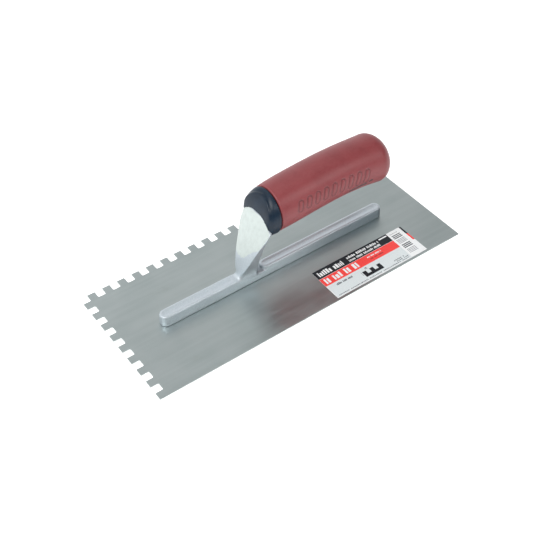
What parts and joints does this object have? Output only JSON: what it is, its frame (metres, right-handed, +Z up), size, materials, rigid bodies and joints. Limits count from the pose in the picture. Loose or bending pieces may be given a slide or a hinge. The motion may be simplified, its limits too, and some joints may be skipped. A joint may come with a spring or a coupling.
{
  "type": "notched trowel",
  "caption": "Finishing trowel for spreading mortar: thin steel blade with square notches on one long and one short edge, cast shank and an arched soft-grip handle.",
  "frame": {"origin": "centre of the blade's underside, on the surface that the trowel rests on", "axes": "+Z up through the handle, +X along the blade towards its plain short edge and the handle's butt, +Y towards the notched long edge"},
  "size_m": [0.2794, 0.1142, 0.0866],
  "materials": {
    "blade_steel": "cold-rolled, fine brushed",
    "cast_aluminium": "die-cast satin",
    "rivet_steel": "ground flush",
    "collar_plastic": "semi-gloss moulded, dark navy",
    "sleeve_rubber": "satin soft-touch overmould, dull red",
    "label_print": null
  },
  "bodies": {
    "root": {"blade": "blade_steel", "mounting": "cast_aluminium", "handle_core": "collar_plastic", "grip_sleeve": "sleeve_rubber", "size_label": "label_print", "rivet_1": "rivet_steel", "rivet_2": "rivet_steel", "rivet_3": "rivet_steel", "rivet_4": "rivet_steel", "rivet_5": "rivet_steel", "rivet_6": "rivet_steel", "rivet_7": "rivet_steel"}
  },
  "joints": []
}
